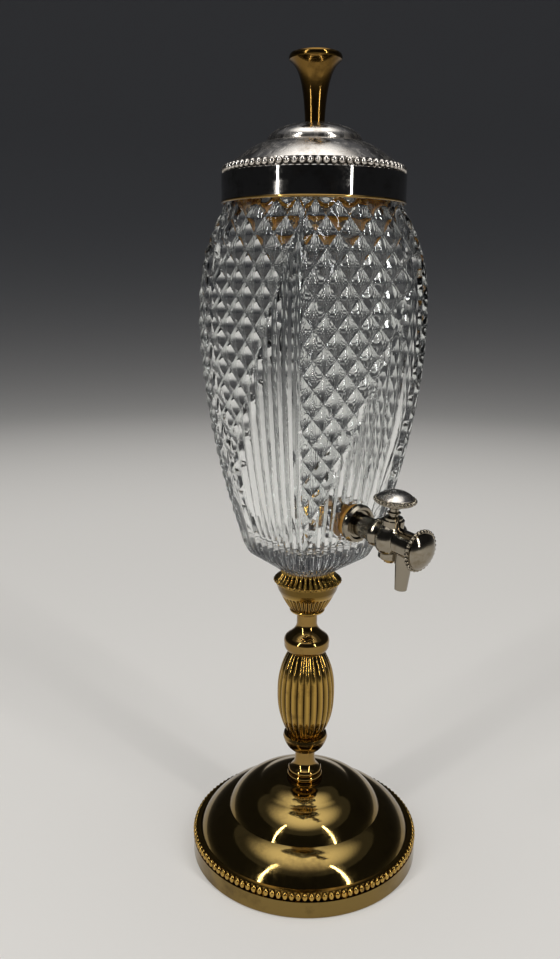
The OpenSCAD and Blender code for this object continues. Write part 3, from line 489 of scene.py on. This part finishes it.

# Stem barrel: rounded reeds on a swelling body, with plain ends seated in the cup below and the bell above,
# painted with shade towards both ends
BARREL_R = 14.85
BARREL_END_R = 9
BARREL_SWELL = 2.4
BARREL_SEAT = 1.2
BARREL_END_SHARE = 0.5
BARREL_END_SHADE = 0.6
barrel_low, barrel_high = node_span("stem_barrel")
barrel_run = barrel_high - barrel_low - 2 * BARREL_SEAT
# The last column is painted shade, heaviest at the two seated ends
barrel_profile = [(BARREL_END_R, barrel_low, BARREL_END_SHARE, 0, BARREL_END_SHADE)]
for u in np.linspace(-1, 1, 65):
    barrel_profile.append((
        BARREL_R - (BARREL_R - BARREL_END_R) * abs(u) ** BARREL_SWELL,
        barrel_low + BARREL_SEAT + barrel_run * (u + 1) / 2,
        1 - (1 - BARREL_END_SHARE) * u * u, 0, BARREL_END_SHADE * u ** 8))
barrel_profile += [
    (BARREL_END_R, barrel_high, BARREL_END_SHARE, 0, BARREL_END_SHADE),
    (ROD_BORE_R, barrel_high, 0, 0, 0), (ROD_BORE_R, barrel_low, 0, 0, 0)]
reeded_piece("reeded_barrel", "stem_barrel", barrel_profile, reeds=24, depth=0.95)

# Bowl: a rounded foot ring, then reeds that end in rounded tips below a plain band, painted with shade towards
# its top, under the crown's skirt
BOWL_RING_R = 8.4
BOWL_RING_H = 1.8
BOWL_RING_SWELL = 0.6
BOWL_FOOT_R = 8.9
BOWL_R = 15
BOWL_FLARE = 0.85
REED_TIP_FROM, REED_TIP_TO = 0.62, 0.76
BOWL_BAND_SHADE = 0.6
BOWL_BAND_SHADE_FROM = 0.7
BOWL_FLOOR = 3
NUT_ROOM_R = 8.5
bowl_low, bowl_high = node_span("fluted_bowl")
reeds_low = bowl_low + BOWL_RING_H
bowl_profile = [
    (BOWL_RING_R + BOWL_RING_SWELL * math.sin(math.pi * t), bowl_low + BOWL_RING_H * t, 0, 0, 0)
    for t in np.linspace(0, 1, 9)]
# The last column is painted shade, which darkens the plain band towards its top
for t in np.linspace(0, 1, 41):
    bowl_profile.append((
        BOWL_FOOT_R + (BOWL_R - BOWL_FOOT_R) * t ** BOWL_FLARE, reeds_low + (bowl_high - reeds_low) * t,
        1 - smooth_step(REED_TIP_FROM, REED_TIP_TO, t), 0, BOWL_BAND_SHADE * smooth_step(BOWL_BAND_SHADE_FROM, 1, t)))
bowl_profile += [
    (NUT_ROOM_R, bowl_high, 0, 0, 0), (NUT_ROOM_R, bowl_low + BOWL_FLOOR, 0, 0, 0),
    (ROD_BORE_R, bowl_low + BOWL_FLOOR, 0, 0, 0), (ROD_BORE_R, bowl_low, 0, 0, 0)]
reeded_piece("reeded_bowl", "fluted_bowl", bowl_profile, reeds=36, depth=0.7)

# Crown: the bowl's plain top, painted with shade below the skirt, and on it a pleated skirt that flares to a
# scalloped edge. Its rows are a share of the height, how far in from the edge it is there, how deep its pleats
# are and how far their valleys are lifted
CROWN_R = 17.4
CROWN_TOP_R = 13.4
SOCKET_R = 11.8
CROWN_FOOT_SHADE = 0.7
CROWN_SHADE_FROM, CROWN_SHADE_TO = 0.3, 0.42
crown_up, crown_in, crown_pleat, crown_lift = np.array([
    (0, 0.6, 0, 0), (0.2, 0.44, 0, 0), (0.34, 0.32, 0, 0.2), (0.37, 0.26, 0.4, 0.7), (0.41, 0.08, 0.9, 0.8),
    (0.45, 0, 1, 0.6), (0.5, 0.03, 1, 0.3), (0.58, 0.25, 1, 0.1), (0.66, 0.52, 0.9, 0), (0.76, 0.78, 0.8, 0),
    (0.88, 0.93, 0.7, 0), (1, 1, 0.5, 0)]).T
crown_low, crown_high = node_span("glass_crown")
crown_rise = np.concatenate([np.linspace(0, 0.34, 6), np.linspace(0.355, 0.6, 18), np.linspace(0.63, 1, 13)])
# The last column is painted shade, heaviest on the plain top and the skirt's underside
crown_profile = list(zip(
    CROWN_R - (CROWN_R - CROWN_TOP_R) * np.interp(crown_rise, crown_up, crown_in),
    crown_low + (crown_high - crown_low) * crown_rise,
    np.interp(crown_rise, crown_up, crown_pleat),
    np.interp(crown_rise, crown_up, crown_lift),
    CROWN_FOOT_SHADE * (1 - smooth_step(CROWN_SHADE_FROM, CROWN_SHADE_TO, crown_rise))))
crown_profile += [(SOCKET_R, crown_high, 0, 0, 0), (SOCKET_R, crown_low, 0, 0, 0)]
reeded_piece("pleated_crown", "glass_crown", crown_profile, reeds=36, depth=1.4)

# Bead rings: painted shade on the band at its four corners, painted shade at a bead's middle and how fast it
# clears outwards, and the steps round a bead and up it
BAND_CORNER_SHADE = (0.8, 0.5, 0.3, 0.8)
BEAD_SHADE = 0.6
BEAD_CLEARS = 1.4
BEAD_LAPS = 16
BEAD_TILTS = np.linspace(-0.47, 0.47, 9) * np.pi


def bead_ring(name, node, band_out_r, band_in_r, ring_r, count, wide, tall):
    """Upright oval beads, as many as fit, on a plain band, with painted shade on the band, darkest low down, and
    on each bead's inner side, so that it shows dark between them.
    """
    low, high = node_span(node)
    turn = np.linspace(0, 2 * np.pi, 2 * count, endpoint=False)
    points = [
        np.stack([r * np.cos(turn), r * np.sin(turn), np.full_like(turn, z)], 1)
        for r, z in ((band_out_r, low), (band_out_r, high), (band_in_r, high), (band_in_r, low))]
    faces = ring_faces(len(turn), len(points))
    # Painted shade on the band, darkest along its lower edges
    hollow = [np.repeat(BAND_CORNER_SHADE, len(turn))]
    start = len(hollow[0])
    lap = np.linspace(0, 2 * np.pi, BEAD_LAPS, endpoint=False)
    bead = np.concatenate([
        np.stack([wide * math.cos(t) * np.cos(lap), wide * math.cos(t) * np.sin(lap),
                  np.full_like(lap, tall * math.sin(t))], 1) for t in BEAD_TILTS])
    bead_faces = ring_faces(BEAD_LAPS, len(BEAD_TILTS), caps=True)
    for i in range(count):
        a = 2 * math.pi * (i + 0.5) / count
        spin = np.array([[math.cos(a), math.sin(a), 0], [-math.sin(a), math.cos(a), 0], [0, 0, 1]])
        points.append(bead @ spin + [ring_r * math.cos(a), ring_r * math.sin(a), (low + high) / 2])
        faces += [[v + start for v in face] for face in bead_faces]
        start += len(bead)
        # Painted shade on each bead, darkest on its side towards the band and clear on its outer side
        hollow.append(BEAD_SHADE - BEAD_CLEARS * bead[:, 0] / wide)
    return dressed_piece(name, np.concatenate(points) * MM, faces, node, hollow=np.concatenate(hollow))


bead_ring("base_beads", "base_bead_ring", band_out_r=57.95, band_in_r=55.6, ring_r=58.25, count=115,
          wide=1.5, tall=2.05)
bead_ring("lid_beads", "lid_bead_ring", band_out_r=40.3, band_in_r=34.4, ring_r=40.6, count=77,
          wide=1.6, tall=1.8)

# Reservoir: a rounded square of glass that swells to a belly and closes to a round neck. Half widths and corners
# are at the bottom, the belly and the neck
HALF_WIDTHS = (26.6, 41.5, NECK_R)
CORNERS = (32.6, 54.3, NECK_R + 0.6)
BELLY_UP = 111
BELLY_BELOW, BELLY_ABOVE = 1.85, 2.5
PEG_R = 10.6
PEG_H = 7.4
SEAT_R = CROWN_TOP_R - 0.3
UNDERSIDE_H = 8
UNDERSIDE_CURVE = 1.15
CHAMFER_H = 5
CHAMFER_IN = 3
CHAMFER_CURVE = 0.8
NECK_SHOW = 1.3
NECK_RISE = 2
MOUTH_R = 36
RIM_ROUND = 0.8
RIM_BEVEL = 0.25
GLASS_WALL = 5
CORNER_WALL = 1.3 * GLASS_WALL
CORNER_LEAST = 1.02
HOLLOW_TOP_DROP = 6
FLOOR_UP = 1.6
FLOOR_ROUND = 7

# The cutting: cells across a face, rows up it, samples in a cell, and how much each row is taller than the last
FACE_CELLS = 12
PATTERN_ROWS = 26
CELL_SAMPLES = 6
ROW_GROWTH = 0.005
DIAMOND_DEPTH = 2
RIB_DEPTH = 1.4
DIAGONAL_SOFT = 0.3
TOP_FADE_ROWS = 0.8
CREASE_FROM = 18

# The tap's seat: a flat land on the front face, and a bore square to it
TAP_ROW = 3
TAP_DROOP = math.radians(5)
LAND_PROUD = 0.7
LAND_WALL = 6
LAND_REACH = 9
LAND_INSIDE_REACH = LAND_REACH - 0.6
LAND_BLEND = 2
BORE_R = 5.1
BORE_LAPS = 64
BORE_INWARD, BORE_OUTWARD = -10, 4

peg_z, rim_z = node_span("glass_reservoir")
glass_z = peg_z + PEG_H
pattern_z = glass_z + UNDERSIDE_H + CHAMFER_H
neck_z = node_span("collar_band")[0] - NECK_SHOW
belly_z = pattern_z + BELLY_UP
floor_z = pattern_z + FLOOR_UP
tap_z = pattern_z + TAP_ROW * (neck_z - pattern_z) / PATTERN_ROWS

face_columns = np.arange(FACE_CELLS * CELL_SAMPLES)
column = np.tile(face_columns / CELL_SAMPLES, 4)
face_turn = np.tile(np.arctan(2 * face_columns / len(face_columns) - 1), 4)
glass_turn = face_turn + np.repeat(np.arange(-1, 3) * np.pi / 2, len(face_columns))


def belly(z, sizes):
    """A size of the glass at a height, from its sizes at the bottom, the belly and the neck."""
    low, wide, high = sizes
    if z < belly_z:
        return wide - (wide - low) * ((belly_z - z) / BELLY_UP) ** BELLY_BELOW
    return wide - (wide - high) * ((z - belly_z) / (neck_z - belly_z)) ** BELLY_ABOVE


land_r = belly(tap_z, HALF_WIDTHS) + LAND_PROUD
ribs = RIB_DEPTH * (1 - np.abs(np.sin(np.pi * column)))


def rounded_square(half, corner):
    """Radius of a rounded square at each of the glass's columns."""
    n = 1 / (0.5 - math.log(corner / half) / math.log(2))
    return half * (np.abs(np.cos(face_turn)) ** n + np.abs(np.sin(face_turn)) ** n) ** (-1 / n)


def from_even(value):
    """Distance to the nearest even number."""
    return np.abs((value + 1) % 2 - 1)


def pressing(row):
    """Depth of the mould's cutting: diamond pillows between sharp grooves above the diagonal that climbs to the
    right, and ribs below it."""
    pillow = (1 - from_even(column + row) ** 2) * (1 - from_even(column - row) ** 2)
    diamonds = DIAMOND_DEPTH * (1 - pillow)
    share = smooth_step(-DIAGONAL_SOFT, DIAGONAL_SOFT, row * FACE_CELLS / PATTERN_ROWS - column)
    return (share * diamonds + (1 - share) * ribs) * np.clip((PATTERN_ROWS - row) / TOP_FADE_ROWS, 0, 1)


def glass_ring(radius, z):
    """The points of the glass at a height."""
    return np.stack([radius * np.cos(glass_turn), radius * np.sin(glass_turn), np.full_like(glass_turn, z)], 1)


def on_land(ring, land, reach):
    """Sets the points round the tap on the flat land that its gasket seats on."""
    away = np.hypot(ring[:, 0], ring[:, 2] - tap_z)
    share = np.where(ring[:, 1] < 0, 1 - smooth_step(reach, reach + LAND_BLEND, away), 0)
    plane = -(land + (ring[:, 2] - tap_z) * math.tan(TAP_DROOP))
    ring[:, 1] += share * (plane - ring[:, 1])
    return ring


# Up the outside: the peg, the ribbed underside and chamfer, and the cutting
chamfer = rounded_square(HALF_WIDTHS[0] - CHAMFER_IN, CORNERS[0] - CHAMFER_IN)
bottom = rounded_square(HALF_WIDTHS[0], CORNERS[0])
glass_rings = [glass_ring(PEG_R, peg_z), glass_ring(PEG_R, glass_z), glass_ring(SEAT_R, glass_z)]
for t in (0.25, 0.5, 0.75, 0.9):
    glass_rings.append(glass_ring(
        SEAT_R + (chamfer - SEAT_R) * t - ribs * t, glass_z + UNDERSIDE_H * t ** UNDERSIDE_CURVE))
for t in (0, 0.12, 0.3, 0.5, 0.7, 0.88):
    glass_rings.append(glass_ring(
        chamfer + (bottom - chamfer) * t ** CHAMFER_CURVE - ribs, glass_z + UNDERSIDE_H + CHAMFER_H * t))
first_pattern_ring = len(glass_rings)
row_count = PATTERN_ROWS * CELL_SAMPLES
for k in range(row_count + 1):
    row = k / CELL_SAMPLES
    z = pattern_z + (neck_z - pattern_z) * row * (1 + ROW_GROWTH * row) / (
        PATTERN_ROWS * (1 + ROW_GROWTH * PATTERN_ROWS))
    radius = rounded_square(belly(z, HALF_WIDTHS), belly(z, CORNERS)) - pressing(row)
    glass_rings.append(on_land(glass_ring(radius, z), land_r, LAND_REACH))

# Over the rounded rim of the neck and into the mouth
for radius, z in (
        (NECK_R, neck_z + NECK_RISE), (NECK_R, rim_z - RIM_ROUND), (NECK_R - RIM_BEVEL, rim_z - RIM_BEVEL),
        (NECK_R - RIM_ROUND, rim_z), (MOUTH_R + RIM_ROUND, rim_z), (MOUTH_R + RIM_BEVEL, rim_z - RIM_BEVEL),
        (MOUTH_R, rim_z - RIM_ROUND), (MOUTH_R, neck_z)):
    glass_rings.append(glass_ring(radius, z))

# Down the smooth inside, to the rounded floor
hollow_levels = np.concatenate([
    np.linspace(neck_z - HOLLOW_TOP_DROP, floor_z + FLOOR_ROUND, 60),
    floor_z + FLOOR_ROUND * (1 - np.sin(np.linspace(0.1, 1, 10) * np.pi / 2))])
for z in hollow_levels:
    half = belly(z, HALF_WIDTHS) - GLASS_WALL
    corner = max(belly(z, CORNERS) - CORNER_WALL, CORNER_LEAST * half)
    drop = np.clip((floor_z + FLOOR_ROUND - z) / FLOOR_ROUND, 0, 1)
    radius = rounded_square(half, corner) - FLOOR_ROUND * (1 - math.sqrt(1 - drop * drop))
    glass_rings.append(on_land(
        glass_ring(radius, z), land_r - LAND_WALL / math.cos(TAP_DROOP), LAND_INSIDE_REACH))


def crease_ways(ring):
    """Which quads of the cutting are split along the diagonal that rises to the right, as the creases run."""
    k = ring - first_pattern_ring
    if not 0 <= k < row_count:
        return None
    return (np.tile(face_columns, 4) + 1 + k) % CELL_SAMPLES != 0


reservoir = dressed_piece(
    "reservoir", np.concatenate(glass_rings) * MM,
    ring_faces(len(glass_turn), len(glass_rings), caps=True, split=crease_ways), "glass_reservoir", CREASE_FROM)

# The tap's bore goes through the land, square to it
bore_turn = np.linspace(0, 2 * np.pi, BORE_LAPS, endpoint=False)
bore_rings = [
    np.stack([BORE_R * np.cos(bore_turn), BORE_R * np.sin(bore_turn), np.full_like(bore_turn, s)], 1)
    for s in (BORE_INWARD, BORE_OUTWARD)]
bore_mesh = bpy.data.meshes.new("tap_bore")
bore_mesh.from_pydata((np.concatenate(bore_rings) * MM).tolist(), [], ring_faces(BORE_LAPS, 2, caps=True))
bore_place = Matrix.Translation((0, -land_r * MM, tap_z * MM))
bore_mesh.transform(bore_place @ Matrix.Rotation(math.pi / 2 + TAP_DROOP, 4, "X"))
bore = bpy.data.objects.new("tap_bore", bore_mesh)
scene.collection.objects.link(bore)
cut = reservoir.modifiers.new("bore", "BOOLEAN")
cut.object = bore
cut.operation = "DIFFERENCE"
cut.solver = "EXACT"
bpy.context.view_layer.update()
bored = bpy.data.meshes.new_from_object(reservoir.evaluated_get(bpy.context.evaluated_depsgraph_get()))
reservoir.modifiers.clear()
reservoir.data = bored
weld(bored)
bored.set_sharp_from_angle(angle=math.radians(CREASE_FROM))
bpy.data.objects.remove(bore)

# Stage: a round pale cove, so that every side is seen against the same plain ground. Sizes are in metres
COVE_FLOOR_R = 1.5
COVE_BEND_R = 0.7
COVE_WALL_TOP = 2.2
COVE_MIDDLE_R = 0.02
COVE_LAPS = 96
cove_profile = [(COVE_MIDDLE_R, 0)] + [
    (COVE_FLOOR_R + COVE_BEND_R * math.sin(t), COVE_BEND_R * (1 - math.cos(t)))
    for t in np.linspace(0, np.pi / 2, 25)]
cove_profile.append((COVE_FLOOR_R + COVE_BEND_R, COVE_WALL_TOP))
around = np.linspace(0, 2 * np.pi, COVE_LAPS, endpoint=False)
cove_points = [(r * math.cos(a), r * math.sin(a), z) for r, z in cove_profile for a in around]
# The floor's middle is capped, and the top is left open to the ceiling
cove_faces = ring_faces(COVE_LAPS, len(cove_profile), caps=True)[:-1]
cove_mesh = bpy.data.meshes.new("cove")
cove_mesh.from_pydata(cove_points, [], cove_faces)
cove_mesh.polygons.foreach_set("use_smooth", [True] * len(cove_faces))
cove = bpy.data.objects.new("cove", cove_mesh)
scene.collection.objects.link(cove)

# Matte paper: it takes the fountain's shadow, and a little light of its own keeps it pale. Its colour is painted
# with shade that fades it to grey over the far floor and up the wall, in place of the light falling off there,
# which gives the glass and the metal something dark to reflect
FADE_FROM, FADE_TO = 0.6, 2.25
PAPER_GLOW = 0.27
paper, paper_tree, paper_shader = new_material("paper_matte")
paper_place = add(paper_tree, "ShaderNodeTexCoord").outputs["Object"]
paper_spread = add(paper_tree, "ShaderNodeVectorMath", {0: paper_place}, operation="LENGTH")
# Painted shade: the paper darkens to grey with distance from the fountain's axis
fade = add(paper_tree, "ShaderNodeMapRange", {
    "Value": paper_spread.outputs["Value"], "From Min": FADE_FROM, "From Max": FADE_TO},
    interpolation_type="SMOOTHSTEP")
paper_colour = add(paper_tree, "ShaderNodeMix", {
    SHARE: fade.outputs["Result"], FROM: linear("#d2cfca"), TO: linear("#3c3d40")}, data_type="RGBA")
paper_tree.links.new(paper_colour.outputs[MIXED], paper_shader.inputs["Base Color"])
paper_tree.links.new(paper_colour.outputs[MIXED], paper_shader.inputs["Emission Color"])
paper_shader.inputs["Roughness"].default_value = 0.9
light_path = add(paper_tree, "ShaderNodeLightPath")
seen = add(paper_tree, "ShaderNodeMath", {
    0: light_path.outputs["Is Camera Ray"], 1: light_path.outputs["Is Glossy Ray"]}, operation="MAXIMUM")
seen_through = add(paper_tree, "ShaderNodeMath", {
    0: seen.outputs["Value"], 1: light_path.outputs["Is Transmission Ray"]}, operation="MAXIMUM")
glow = add(paper_tree, "ShaderNodeMath", {
    0: seen_through.outputs["Value"], 1: PAPER_GLOW}, operation="MULTIPLY")
paper_tree.links.new(glow.outputs["Value"], paper_shader.inputs["Emission Strength"])
cove_mesh.materials.append(paper)

# World: the studio's ceiling above the cove, dim at its rim and brightest straight overhead, which lights the
# fountain softly from above with no edge for the brass to mirror
CEILING_RIM = 0.8
CEILING_STRENGTH = 2.3
world = bpy.data.worlds.new("studio")
world.use_nodes = True
scene.world = world
world_tree = world.node_tree
ceiling = world_tree.nodes["Background"]
skyward = add(world_tree, "ShaderNodeSeparateXYZ", {
    0: add(world_tree, "ShaderNodeTexCoord").outputs["Generated"]})
overhead = add(world_tree, "ShaderNodeMapRange", {
    "Value": skyward.outputs["Z"], "From Min": CEILING_RIM, "From Max": 1}, interpolation_type="SMOOTHSTEP")
ceiling_colour = add(world_tree, "ShaderNodeMix", {
    SHARE: overhead.outputs["Result"], FROM: linear("#3a3b3e"), TO: linear("#ffffff")}, data_type="RGBA")
world_tree.links.new(ceiling_colour.outputs[MIXED], ceiling.inputs["Color"])
ceiling.inputs["Strength"].default_value = CEILING_STRENGTH

# Lamps: two tall soft strips, one on each side of the camera, for upright highlights. Sizes are in metres
STRIP_DISTANCE = 1.0
STRIP_HEIGHT = 0.75
STRIP_WIDE = 0.045
STRIP_TALL = 1.2
STRIP_POWER = 4.5
STRIP_AIM_HEIGHT = 0.22


def soft_strip(name, azimuth):
    """A soft strip lamp at an angle from the camera's side, aimed at the fountain's axis."""
    data = bpy.data.lights.new(name, "AREA")
    data.shape = "RECTANGLE"
    data.size = STRIP_WIDE
    data.size_y = STRIP_TALL
    data.energy = STRIP_POWER
    lamp = bpy.data.objects.new(name, data)
    turn = AZIMUTH + math.radians(azimuth)
    lamp.location = (math.sin(turn) * STRIP_DISTANCE, -math.cos(turn) * STRIP_DISTANCE, STRIP_HEIGHT)
    aim = Vector((0, 0, STRIP_AIM_HEIGHT)) - lamp.location
    lamp.rotation_euler = aim.to_track_quat("-Z", "Y").to_euler()
    scene.collection.objects.link(lamp)


soft_strip("left_strip", -45)
soft_strip("right_strip", 43)

scene.view_settings.view_transform = "Standard"
